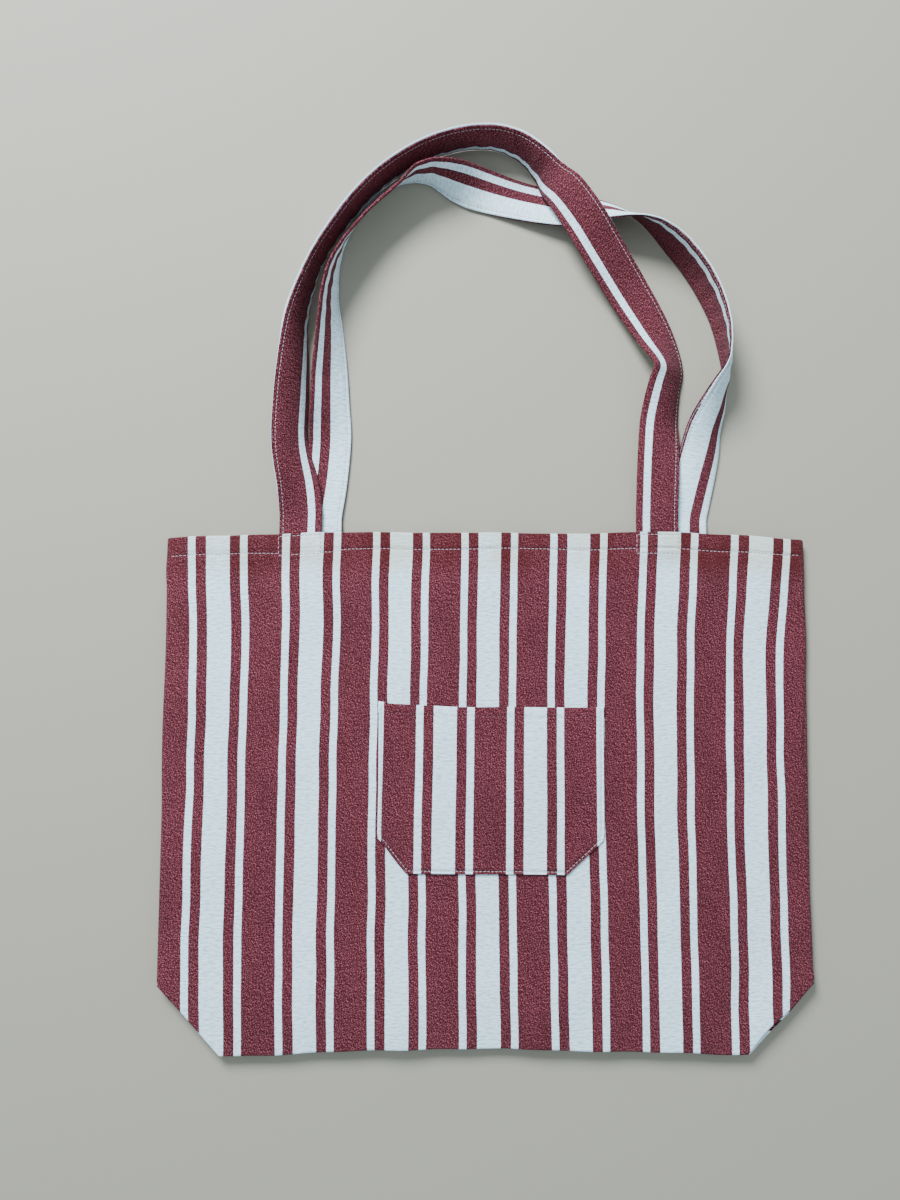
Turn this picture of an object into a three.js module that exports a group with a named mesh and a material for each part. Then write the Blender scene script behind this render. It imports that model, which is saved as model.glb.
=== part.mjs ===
// Striped canvas tote bag, lying flat on its back with its boxed bottom folded in.
// Millimetres. X to the bag's right, Y from the bottom towards the handles, Z out of the front.
// The origin is on the ground under the middle of the bag's body.
import * as THREE from 'three';

// ---- Driving dimensions -------------------------------------------------------------------
const BAG_WIDTH = 480;
const BAG_HEIGHT = 380;
const BOX_DEPTH = 95; // depth of the boxed bottom when the bag stands open
const CLOTH = 1; // one layer of canvas
const INSIDE_GAP = 7; // room left between the two faces of the resting bag
const TOUCH_GAP = 0.3; // clearance between pieces that lie against each other
const HEM_HEIGHT = 13;
const HEM_THICKNESS = 1.6;
const SEAM_ALLOWANCE = 8;
const SEAM_CLEARANCE = 1; // a seam allowance stops this far short of a fold

const STRAP_WIDTH = 32;
const STRAP_THICKNESS = 1.5;
const STRAP_TAB_BELOW = 25; // how far a strap end reaches down inside the bag
const STRAP_TAB_ABOVE = 1.5; // how far it stands above the hem before the free strap starts
const FRONT_STRAP_FEET = [-140, 128.5];
const BACK_STRAP_FEET = [-125.5, 151];
const STRAP_STITCH_INSET = 3;
const STEPS_PER_SPAN = 3; // facets between two points of a strap's route

const POCKET_WIDTH = 168;
const POCKET_HEIGHT = 124;
const POCKET_CUT = 26; // the pocket's clipped lower corners
const POCKET_DROP = 130; // from the bag's top edge down to the pocket's mouth
const POCKET_CENTRE_X = 4;
const POCKET_CLOTH = 0.8;
const POCKET_HEM_HEIGHT = 9;
const POCKET_HEM_THICKNESS = 1.3;

const THREAD = 0.6; // width of a sewn line
const THREAD_RISE = 0.4; // how far it stands proud
const STITCH_INSET = 3;
const STITCH_ABOVE_HEM_FOOT = 1; // the hem's sewn line, just inside the hem's lower edge
const POCKET_STITCH_ABOVE_FOOT = 1.5;
const BOX_STITCH_WIDTH = 31;
const BOX_STITCH_HEIGHT = 13.5;
const BOX_STITCH_BELOW_TOP = 2;

// ---- Levels and outlines worked out from them ------------------------------------------------
const HALF_WIDTH = BAG_WIDTH / 2;
const TOP = BAG_HEIGHT / 2;
const BOTTOM = -TOP;
const HALF_BOX = BOX_DEPTH / 2;
const FOLD_TOP = BOTTOM + HALF_BOX; // where the folded-in bottom ends
const BOX_SIDE = HALF_WIDTH - HALF_BOX; // half the length of the bottom edge
const BACK_TOP = CLOTH; // upper face of the back panel
const FRONT_UNDER = CLOTH + INSIDE_GAP; // lower face of the front panel
const FRONT_TOP = FRONT_UNDER + CLOTH;
const HEM_FOOT = TOP - HEM_HEIGHT;
const FRONT_STRAP_UNDER = FRONT_TOP - HEM_THICKNESS - TOUCH_GAP - STRAP_THICKNESS;
const BACK_STRAP_UNDER = HEM_THICKNESS + TOUCH_GAP;

// ---- Materials ----------------------------------------------------------------------------
const makeCloth = (color) => new THREE.MeshStandardMaterial({ color, roughness: 0.9, metalness: 0 });
const STRIPED_CANVAS = makeCloth(0x9a5a66);
const STRAP_CANVAS = makeCloth(0x7d404c);
const PALE_THREAD = makeCloth(0xd9c2c2);

// ---- Small builders -------------------------------------------------------------------------
function makeMesh(name, geometry, material) {
  const mesh = new THREE.Mesh(geometry, material);
  mesh.name = name;
  return mesh;
}

// A flat piece cut to an outline, lying between two levels.
function makePlate(name, outline, under, thickness, material) {
  const shape = new THREE.Shape(outline.map(([x, y]) => new THREE.Vector2(x, y)));
  const geometry = new THREE.ExtrudeGeometry(shape, { depth: thickness, bevelEnabled: false });
  const mesh = makeMesh(name, geometry, material);
  mesh.position.z = under;
  return mesh;
}

function makeBar(name, [left, right], [low, high], [under, over], material) {
  const geometry = new THREE.BoxGeometry(right - left, high - low, over - under);
  const mesh = makeMesh(name, geometry, material);
  mesh.position.set((left + right) / 2, (low + high) / 2, (under + over) / 2);
  return mesh;
}

// One sewn line: a flat thread following a path, joined to itself when the path is closed.
function makeSewnLine(name, path, under, closed = false) {
  const half = THREAD / 2;
  const count = path.length;
  const sideOf = (index, sign) => {
    const here = new THREE.Vector2(...path[index]);
    const previous = closed ? (index + count - 1) % count : Math.max(index - 1, 0);
    const next = closed ? (index + 1) % count : Math.min(index + 1, count - 1);
    const before = new THREE.Vector2(...path[previous]);
    const after = new THREE.Vector2(...path[next]);
    const arriving = here.clone().sub(before).normalize();
    const leaving = after.clone().sub(here).normalize();
    const along = arriving.clone().add(leaving).normalize();
    const straightest = Math.max(along.dot(leaving), along.dot(arriving));
    const across = new THREE.Vector2(-along.y, along.x);
    return here.clone().addScaledVector(across, (sign * half) / straightest);
  };
  const indices = path.map((_, index) => index);
  const left = indices.map((index) => sideOf(index, 1));
  const right = indices.map((index) => sideOf(index, -1));
  let shape;
  if (closed) {
    const [outer, inner] = THREE.ShapeUtils.area(left) ** 2 > THREE.ShapeUtils.area(right) ** 2
      ? [left, right]
      : [right, left];
    shape = new THREE.Shape(outer);
    shape.holes.push(new THREE.Path(inner));
  } else {
    shape = new THREE.Shape([...left, ...right.reverse()]);
  }
  const geometry = new THREE.ExtrudeGeometry(shape, { depth: THREAD_RISE, bevelEnabled: false });
  const mesh = makeMesh(name, geometry, PALE_THREAD);
  mesh.position.z = under;
  return mesh;
}

// ---- The bag's body -------------------------------------------------------------------------
// Both faces have the same outline: a rectangle whose lower corners are folded in at 45 degrees.
function faceOutline(top) {
  return [
    [-BOX_SIDE, BOTTOM],
    [BOX_SIDE, BOTTOM],
    [HALF_WIDTH, FOLD_TOP],
    [HALF_WIDTH, top],
    [-HALF_WIDTH, top],
    [-HALF_WIDTH, FOLD_TOP],
  ];
}

const FOLDED_BOTTOM_OUTLINE = [
  [-BOX_SIDE, BOTTOM],
  [BOX_SIDE, BOTTOM],
  [HALF_WIDTH, FOLD_TOP],
  [-HALF_WIDTH, FOLD_TOP],
];

function makePanels() {
  const outline = faceOutline(HEM_FOOT - TOUCH_GAP);
  return [
    makePlate('back_panel', outline, 0, CLOTH, STRIPED_CANVAS),
    makePlate('front_panel', outline, FRONT_UNDER, CLOTH, STRIPED_CANVAS),
  ];
}

function makeBottomHalves() {
  const frontUnder = FRONT_UNDER - TOUCH_GAP - CLOTH;
  return [
    makePlate('bottom_back_half', FOLDED_BOTTOM_OUTLINE, BACK_TOP + TOUCH_GAP, CLOTH, STRIPED_CANVAS),
    makePlate('bottom_front_half', FOLDED_BOTTOM_OUTLINE, frontUnder, CLOTH, STRIPED_CANVAS),
  ];
}

// The seam allowances inside the bag. They fill the height between the two faces.
function makeSeams() {
  const sideLevels = [BACK_TOP + TOUCH_GAP, FRONT_UNDER - TOUCH_GAP];
  const foldLevels = [sideLevels[0] + CLOTH + TOUCH_GAP, sideLevels[1] - CLOTH - TOUCH_GAP];
  const seams = [];
  for (const [side, sign] of [['left', -1], ['right', 1]]) {
    const edges = [sign * (HALF_WIDTH - SEAM_ALLOWANCE), sign * (HALF_WIDTH - TOUCH_GAP)];
    const across = edges.sort((a, b) => a - b);
    const sideRows = [FOLD_TOP + SEAM_CLEARANCE, HEM_FOOT];
    seams.push(makeBar(`${side}_side_seam`, across, sideRows, sideLevels, STRIPED_CANVAS));
    const inner = [sign * BOX_SIDE, sign * (BOX_SIDE - SEAM_ALLOWANCE)].sort((a, b) => a - b);
    const cornerRows = [BOTTOM + SEAM_CLEARANCE, FOLD_TOP];
    seams.push(makeBar(`${side}_corner_seam`, inner, cornerRows, foldLevels, STRIPED_CANVAS));
  }
  const length = BOX_SIDE - SEAM_ALLOWANCE - TOUCH_GAP;
  const rows = [FOLD_TOP - SEAM_ALLOWANCE, FOLD_TOP];
  seams.push(makeBar('bottom_seam', [-length, length], rows, foldLevels, STRIPED_CANVAS));
  return seams;
}

function makeHems() {
  const across = [-HALF_WIDTH, HALF_WIDTH];
  const rows = [HEM_FOOT, TOP];
  const lineY = HEM_FOOT + STITCH_ABOVE_HEM_FOOT;
  const line = [[-HALF_WIDTH + STITCH_INSET, lineY], [HALF_WIDTH - STITCH_INSET, lineY]];
  return [
    makeBar('back_hem', across, rows, [0, HEM_THICKNESS], STRIPED_CANVAS),
    makeBar('front_hem', across, rows, [FRONT_TOP - HEM_THICKNESS, FRONT_TOP], STRIPED_CANVAS),
    makeSewnLine('front_hem_stitch', line, FRONT_TOP + TOUCH_GAP),
  ];
}

// ---- The patch pocket -----------------------------------------------------------------------
const POCKET_TOP = TOP - POCKET_DROP;
const POCKET_BOTTOM = POCKET_TOP - POCKET_HEIGHT;

function pocketPath(inset, top) {
  const left = POCKET_CENTRE_X - POCKET_WIDTH / 2 + inset;
  const right = POCKET_CENTRE_X + POCKET_WIDTH / 2 - inset;
  const bottom = POCKET_BOTTOM + inset;
  const cut = POCKET_CUT - inset * (2 - Math.SQRT2);
  return [
    [left, top],
    [left, bottom + cut],
    [left + cut, bottom],
    [right - cut, bottom],
    [right, bottom + cut],
    [right, top],
  ];
}

function makePocket() {
  const hemFoot = POCKET_TOP - POCKET_HEM_HEIGHT;
  const under = FRONT_TOP + TOUCH_GAP;
  const sides = [POCKET_CENTRE_X - POCKET_WIDTH / 2, POCKET_CENTRE_X + POCKET_WIDTH / 2];
  const bodyOver = under + POCKET_CLOTH + TOUCH_GAP;
  const hemOver = under + POCKET_HEM_THICKNESS + TOUCH_GAP;
  const hemLevels = [under, under + POCKET_HEM_THICKNESS];
  const lineY = hemFoot + POCKET_STITCH_ABOVE_FOOT;
  const hemLine = [[sides[0] + THREAD, lineY], [sides[1] - THREAD, lineY]];
  return [
    makePlate('pocket', pocketPath(0, hemFoot - TOUCH_GAP), under, POCKET_CLOTH, STRIPED_CANVAS),
    makeBar('pocket_hem', sides, [hemFoot, POCKET_TOP], hemLevels, STRIPED_CANVAS),
    makeSewnLine('pocket_stitch', pocketPath(STITCH_INSET, hemFoot - THREAD), bodyOver),
    makeSewnLine('pocket_hem_stitch', hemLine, hemOver),
  ];
}

// ---- Handles --------------------------------------------------------------------------------
// A route runs from the strap's left foot to its right foot. Each point is the strap's middle:
// x, y, height, and its lean in degrees about its own length. At 0 the strap lies flat, at 90 it
// stands on edge with its outer edge up, and at -90 with its inner edge up.
const FRONT_ROUTE = [
  [-140, 193, 6.35, 0],
  [-140, 205, 7, 5],
  [-142, 225, 10.5, 22],
  [-149.5, 258, 15.4, 50],
  [-149.5, 290, 15, 52],
  [-148, 320, 15.5, 58],
  [-144.5, 350, 16.3, 68],
  [-138.5, 375, 16.6, 80],
  [-130, 398, 16.6, 88],
  [-117, 420, 16.6, 90],
  [-100, 443, 16.6, 90],
  [-79, 463.5, 16.6, 90],
  [-52, 481, 16.6, 90],
  [-24, 491, 16.6, 90],
  [2, 493, 16.6, 88],
  [23, 486.5, 17.5, 82],
  [40, 472, 19, 70],
  [55, 449.5, 24, 40],
  [71.5, 425, 24.5, 26],
  [87, 403, 18, 12],
  [106, 376, 10, 4],
  [124, 347, 8, -12],
  [137, 320, 11, -36],
  [135.5, 301, 9.5, -28],
  [131.8, 276, 8, -10],
  [130.3, 255, 7.8, -3],
  [129.3, 234, 7.4, 0],
  [128.5, 205, 6.5, 0],
  [128.5, 193, 6.35, 0],
];
const BACK_ROUTE = [
  [-125.5, 193, 2.65, 0],
  [-125.3, 203, 2.1, 0],
  [-122, 226, 1.6, 0],
  [-119.5, 256, 2.4, 3],
  [-119.2, 284, 8.8, 28],
  [-119.4, 306, 11, 38],
  [-119.2, 326, 13.5, 50],
  [-119.4, 347, 15.2, 62],
  [-119.6, 367, 16.4, 74],
  [-117.5, 385, 16.8, 84],
  [-112.5, 402, 16.6, 97],
  [-104.5, 418, 15.9, 108],
  [-93.5, 434, 15.2, 115],
  [-81, 447, 14.9, 118],
  [-69, 456.5, 15.2, 114],
  [-57, 463, 16.6, 98],
  [-45, 464.5, 16.6, 84],
  [-35, 462.5, 16, 68],
  [-25.5, 460, 13.4, 50],
  [-12, 457.5, 8.4, 26],
  [3, 455, 3.6, 8],
  [21, 450.5, 2.4, -4],
  [40, 445.5, 4, -10],
  [59, 441, 6.4, -18],
  [75, 439.5, 8.8, -28],
  [89.5, 438, 12, -42],
  [104, 434.5, 14.8, -56],
  [117, 429, 16.2, -72],
  [129, 421, 16.8, -88],
  [140.5, 410.5, 16.8, -99],
  [151.5, 398, 16.6, -102],
  [161, 384, 16.6, -103],
  [168, 370.5, 16.6, -102],
  [173.2, 357, 16.8, -99],
  [176.4, 344, 16.8, -96],
  [178.3, 329, 16.8, -90],
  [178.3, 314, 16.8, -80],
  [174, 296, 14.2, -56],
  [168, 274, 9.4, -32],
  [163.5, 254, 3.8, -10],
  [159, 236, 1.8, -1],
  [154.5, 217, 1.6, 0],
  [151.5, 203, 2.1, 0],
  [151, 193, 2.65, 0],
];

// A flat bar bent along a route. Its rows run lengthways at the given distances from the middle
// towards the outer edge, and its width follows the lean of each point.
function makeBentStrip(name, route, rows, [levelFrom, levelTo], material) {
  const places = route.map(([x, y, z]) => new THREE.Vector3(x, y, z));
  const turns = route.map(([, , , lean]) => new THREE.Vector3(lean));
  const middle = new THREE.CatmullRomCurve3(places, false, 'catmullrom');
  const leans = new THREE.CatmullRomCurve3(turns, false, 'catmullrom');
  const steps = (route.length - 1) * STEPS_PER_SPAN;
  const geometry = new THREE.BoxGeometry(1, 1, levelTo - levelFrom, steps, rows.length - 1, 1);
  const position = geometry.attributes.position;
  const up = new THREE.Vector3(0, 0, 1);
  for (let index = 0; index < position.count; index += 1) {
    const along = position.getX(index) + 0.5;
    const across = rows[Math.round((position.getY(index) + 0.5) * (rows.length - 1))];
    const level = position.getZ(index) + (levelFrom + levelTo) / 2;
    const lean = THREE.MathUtils.degToRad(leans.getPoint(along).x);
    const tangent = middle.getTangent(along);
    const outward = new THREE.Vector3(-tangent.y, tangent.x, 0).normalize();
    const widthways = outward.multiplyScalar(Math.cos(lean)).addScaledVector(up, Math.sin(lean));
    const faceways = new THREE.Vector3().crossVectors(tangent, widthways).normalize();
    const point = middle.getPoint(along);
    point.addScaledVector(widthways, across).addScaledVector(faceways, level);
    position.setXYZ(index, point.x, point.y, point.z);
  }
  return makeMesh(name, geometry, material);
}

// The free strap, and the sewn line near the edge that is stitched shut.
function makeFreeStrap(name, route, stitchedSide) {
  const half = STRAP_WIDTH / 2;
  const over = STRAP_THICKNESS / 2;
  const sewn = half - STRAP_STITCH_INSET;
  const line = stitchedSide * sewn;
  const strapRows = [-half, -sewn, 0, sewn, half];
  const stitchRows = [line - THREAD / 2, line + THREAD / 2];
  const stitchLevels = [over + TOUCH_GAP, over + TOUCH_GAP + THREAD_RISE];
  return [
    makeBentStrip(`${name}_strap`, route, strapRows, [-over, over], STRAP_CANVAS),
    makeBentStrip(`${name}_strap_stitch`, route, stitchRows, stitchLevels, PALE_THREAD),
  ];
}

// The sewn-down strap ends inside the hem, and the box of stitches that holds each one.
function makeStrapEnds(name, feet, under, stitchLevel) {
  const pieces = [];
  for (const [side, foot] of [['left', feet[0]], ['right', feet[1]]]) {
    const across = [foot - STRAP_WIDTH / 2, foot + STRAP_WIDTH / 2];
    const rows = [TOP - STRAP_TAB_BELOW, TOP + STRAP_TAB_ABOVE];
    const levels = [under, under + STRAP_THICKNESS];
    pieces.push(makeBar(`${name}_strap_end_${side}`, across, rows, levels, STRAP_CANVAS));
    const high = TOP - BOX_STITCH_BELOW_TOP;
    const low = high - BOX_STITCH_HEIGHT;
    const left = foot - BOX_STITCH_WIDTH / 2;
    const right = foot + BOX_STITCH_WIDTH / 2;
    const box = [[left, low], [right, low], [right, high], [left, high]];
    pieces.push(makeSewnLine(`${name}_box_stitch_${side}`, box, stitchLevel, true));
  }
  return pieces;
}

// ---- Assembly -------------------------------------------------------------------------------
const frontStitchLevel = FRONT_TOP + TOUCH_GAP + THREAD_RISE + TOUCH_GAP; // crosses over the hem's line
const backStitchLevel = BACK_STRAP_UNDER + STRAP_THICKNESS + TOUCH_GAP;
const tote = new THREE.Group();
tote.add(
  ...makePanels(),
  ...makeBottomHalves(),
  ...makeSeams(),
  ...makeHems(),
  ...makePocket(),
  ...makeStrapEnds('front', FRONT_STRAP_FEET, FRONT_STRAP_UNDER, frontStitchLevel),
  ...makeStrapEnds('back', BACK_STRAP_FEET, BACK_STRAP_UNDER, backStitchLevel),
  ...makeFreeStrap('front', FRONT_ROUTE, 1),
  ...makeFreeStrap('back', BACK_ROUTE, -1),
);

export default tote;
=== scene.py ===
"""Looks of the striped canvas tote bag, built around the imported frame. Lengths are millimetres until
make_piece() turns them into metres, but the floor, light and camera are placed in metres."""

import math

import bpy
import numpy as np
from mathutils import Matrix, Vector


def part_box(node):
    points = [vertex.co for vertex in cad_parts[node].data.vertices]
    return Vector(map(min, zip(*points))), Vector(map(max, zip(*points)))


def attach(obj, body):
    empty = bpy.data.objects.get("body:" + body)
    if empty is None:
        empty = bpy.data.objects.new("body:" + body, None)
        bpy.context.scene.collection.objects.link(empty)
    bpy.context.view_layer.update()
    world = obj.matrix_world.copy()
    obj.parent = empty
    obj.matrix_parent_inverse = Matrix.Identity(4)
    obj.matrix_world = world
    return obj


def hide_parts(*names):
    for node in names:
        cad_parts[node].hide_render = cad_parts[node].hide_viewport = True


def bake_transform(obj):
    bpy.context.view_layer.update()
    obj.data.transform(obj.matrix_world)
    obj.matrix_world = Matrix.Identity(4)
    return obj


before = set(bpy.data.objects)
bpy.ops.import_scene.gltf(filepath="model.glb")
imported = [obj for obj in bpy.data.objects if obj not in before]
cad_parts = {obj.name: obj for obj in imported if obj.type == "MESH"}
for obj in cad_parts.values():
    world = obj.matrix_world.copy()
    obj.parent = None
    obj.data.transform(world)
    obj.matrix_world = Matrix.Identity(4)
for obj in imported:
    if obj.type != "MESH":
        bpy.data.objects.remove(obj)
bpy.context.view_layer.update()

MM = 0.001


# ---- Sizes read from the frame -----------------------------------------------------------------
def box_mm(node):
    """Lowest and highest corner of a CAD node, in millimetres."""
    low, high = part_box(node)
    return np.array(low) / MM, np.array(high) / MM


front_low, front_high = box_mm("front_panel")
hem_low, hem_high = box_mm("front_hem")
pocket_low, pocket_high = box_mm("pocket")

HALF_WIDTH = front_high[0]
TOP = hem_high[1]
BOTTOM = front_low[1]
FOLD_TOP = box_mm("bottom_front_half")[1][1]
HEM_LINE = hem_low[1] + 1.0  # the hem's sewn line, just inside its lower edge
FACE_LEVEL = front_high[2]
SEAM_LEVEL = FACE_LEVEL / 2
CLOTH = 0.8  # thickness of one layer of canvas
FOOT_LEVEL = 0.25  # the resting cloth just clears the ground


def foot_x(name):
    low, high = box_mm(name)
    return (low[0] + high[0]) / 2


FRONT_FEET = [foot_x("front_strap_end_left"), foot_x("front_strap_end_right")]
BOX_STITCH_LOW, BOX_STITCH_HIGH = box_mm("front_box_stitch_left")


# ---- Small numeric helpers ---------------------------------------------------------------------
def smooth(value, low, high):
    t = np.clip((value - low) / (high - low), 0, 1)
    return t * t * (3 - 2 * t)


def bump_at(value, centre, width):
    return np.exp(-(((value - centre) / width) ** 2))


def ripples(x, y, wavelength, seed, waves=9):
    """Gentle unevenness between about -1 and 1, the same on every run."""
    rng = np.random.RandomState(seed)
    total = np.zeros(np.broadcast(x, y).shape)
    for _ in range(waves):
        direction = rng.uniform(0, 2 * math.pi)
        pitch = wavelength * rng.uniform(0.7, 1.6)
        phase = rng.uniform(0, 2 * math.pi)
        forward = x * math.cos(direction) + y * math.sin(direction)
        total += np.sin(2 * math.pi * forward / pitch + phase)
    return total / math.sqrt(waves)


def quarter_round(distance, radius):
    """0 at an edge, 1 from radius inwards, rising like a quarter of a circle."""
    t = np.clip(distance / radius, 0, 1)
    return np.sqrt(np.clip(1 - (1 - t) ** 2, 0, 1))


def ladder(low, high, step, marks=(), offsets=(0,)):
    """Grid lines every step from low to high, with closer lines beside each mark."""
    lines = list(np.linspace(low, high, int(round((high - low) / step)) + 1))
    near = [mark + side * offset for mark in marks for offset in offsets for side in (-1, 1)]
    lines = [line for line in lines if all(abs(line - other) > 0.4 * step for other in near)]
    lines += [line for line in near if low <= line <= high]
    lines = sorted(lines + [low, high])
    kept = [lines[0]]
    for line in lines[1:]:
        if line - kept[-1] > 0.04:
            kept.append(line)
    return np.array(kept)


EDGE_OFFSETS = (0, 0.07, 0.28, 0.6, 1.05, 1.6, 2.3, 3.2, 4.6, 6.8)
LINE_OFFSETS = (0, 0.45, 0.9, 1.4, 2.0, 2.8)


# ---- Mesh builders -----------------------------------------------------------------------------
def make_piece(name, points, faces, cloth, material):
    """One named piece. cloth holds each point's place on the flat cloth, across and along the
    stripes."""
    mesh = bpy.data.meshes.new(name)
    mesh.from_pydata((np.asarray(points) * MM).tolist(), [], faces)
    mesh.validate()
    place = mesh.attributes.new("cloth", "FLOAT_VECTOR", "POINT")
    flat = np.zeros((len(points), 3), np.float32)
    flat[:, : np.asarray(cloth).shape[1]] = cloth
    place.data.foreach_set("vector", flat.ravel())
    mesh.polygons.foreach_set("use_smooth", [True] * len(mesh.polygons))
    mesh.materials.append(material)
    piece = bpy.data.objects.new(name, mesh)
    bpy.context.scene.collection.objects.link(piece)
    return piece


def grid_faces(rows, columns, flip=False, ring=False):
    """Faces of a grid. With ring, the last column joins the first."""
    faces = []
    for row in range(rows - 1):
        for column in range(columns if ring else columns - 1):
            right = (column + 1) % columns
            face = [
                row * columns + column,
                row * columns + right,
                (row + 1) * columns + right,
                (row + 1) * columns + column,
            ]
            faces.append(face[::-1] if flip else face)
    return faces


def grid_piece(name, x, y, z, u, v, material, flip=False, thickness=CLOTH):
    """A sheet of cloth from a grid of points, given its thickness on the inner side."""
    points = np.stack([x, y, z], axis=-1).reshape(-1, 3)
    cloth = np.stack([u, v], axis=-1).reshape(-1, 2)
    piece = make_piece(name, points, grid_faces(*x.shape, flip=flip), cloth, material)
    solid = piece.modifiers.new("thickness", "SOLIDIFY")
    solid.thickness = thickness * MM
    solid.offset = -1
    return piece


# ---- Materials ---------------------------------------------------------------------------------
STRIPE_ORDER = [
    ("red", 12.1),
    ("white", 5.3),
    ("red", 7.6),
    ("white", 8.45),
]  # widths from the middle of a broad red stripe to the middle of a broad white one
HALF_REPEAT = sum(width for _, width in STRIPE_ORDER)
REPEAT = 2 * HALF_REPEAT
RED = (0.078, 0.004, 0.010)
RED_DARK = (0.018, 0.001, 0.002)
RED_PALE = (0.35, 0.090, 0.112)
# painted shade: the darker, browner red of the hem band, where stacked layers hold back light
PAINTED_SHADE_RED = (0.070, 0.004, 0.002)
WHITE = (0.775, 0.875, 0.935)
WHITE_DIM = (0.49, 0.60, 0.70)
# painted shade: the creamier white of the hem band, where stacked layers hold back light
PAINTED_SHADE_CREAM = (0.66, 0.60, 0.49)
YARN_PITCH = 0.9
TWILL_SLANT = 32


class Graph:
    """A short way to write a material's nodes."""

    def __init__(self, name):
        self.material = bpy.data.materials.new(name)
        self.material.use_nodes = True
        self.tree = self.material.node_tree
        self.shader = self.tree.nodes["Principled BSDF"]

    def put(self, socket, value):
        if isinstance(value, bpy.types.NodeSocket):
            self.tree.links.new(value, socket)
        elif value is not None:
            socket.default_value = value

    def node(self, kind, **settings):
        made = self.tree.nodes.new(kind)
        for key, value in settings.items():
            setattr(made, key, value)
        return made

    def math(self, operation, first, second=None, third=None):
        made = self.node("ShaderNodeMath", operation=operation)
        for socket, value in zip(made.inputs, (first, second, third)):
            self.put(socket, value)
        return made.outputs[0]

    def scaled(self, vector, factors):
        made = self.node("ShaderNodeVectorMath", operation="MULTIPLY")
        self.put(made.inputs[0], vector)
        made.inputs[1].default_value = factors
        return made.outputs[0]

    def noise(self, vector, scale, detail=2.0, roughness=0.5):
        made = self.node("ShaderNodeTexNoise")
        self.put(made.inputs["Vector"], vector)
        made.inputs["Scale"].default_value = scale
        made.inputs["Detail"].default_value = detail
        made.inputs["Roughness"].default_value = roughness
        return made.outputs["Fac"]

    def spread(self, value, low, high, to_low=0.0, to_high=1.0):
        made = self.node("ShaderNodeMapRange", interpolation_type="SMOOTHSTEP")
        for socket, number in zip(made.inputs, (value, low, high, to_low, to_high)):
            self.put(socket, number)
        return made.outputs[0]

    def mix(self, share, first, second):
        made = self.node("ShaderNodeMix", data_type="RGBA")
        self.put(made.inputs["Factor"], share)
        for socket, value in ((made.inputs[6], first), (made.inputs[7], second)):
            self.put(socket, (*value, 1) if isinstance(value, tuple) else value)
        return made.outputs[2]


def stripe_mask(graph, across):
    """1 on the red yarns and 0 on the white ones."""
    shifted = graph.math("ADD", graph.math("DIVIDE", across, REPEAT), 0.5)
    offset = graph.math("SUBTRACT", graph.math("FRACT", shifted), 0.5)
    from_middle = graph.math("MULTIPLY", graph.math("ABSOLUTE", offset), 2.0)
    ramp = graph.node("ShaderNodeValToRGB")
    stops = ramp.color_ramp
    stops.elements[0].color = (1, 1, 1, 1)
    stops.elements[1].color = (0, 0, 0, 1)
    edge = 0.0
    blur = 0.12 / HALF_REPEAT
    for colour, width in STRIPE_ORDER[:-1]:
        edge += width / HALF_REPEAT
        here = 1.0 if colour == "red" else 0.0
        for place, value in ((edge - blur, here), (edge + blur, 1 - here)):
            stop = stops.elements.new(place)
            stop.color = (value, value, value, 1)
    graph.put(ramp.inputs[0], from_middle)
    return ramp.outputs[0]


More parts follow.
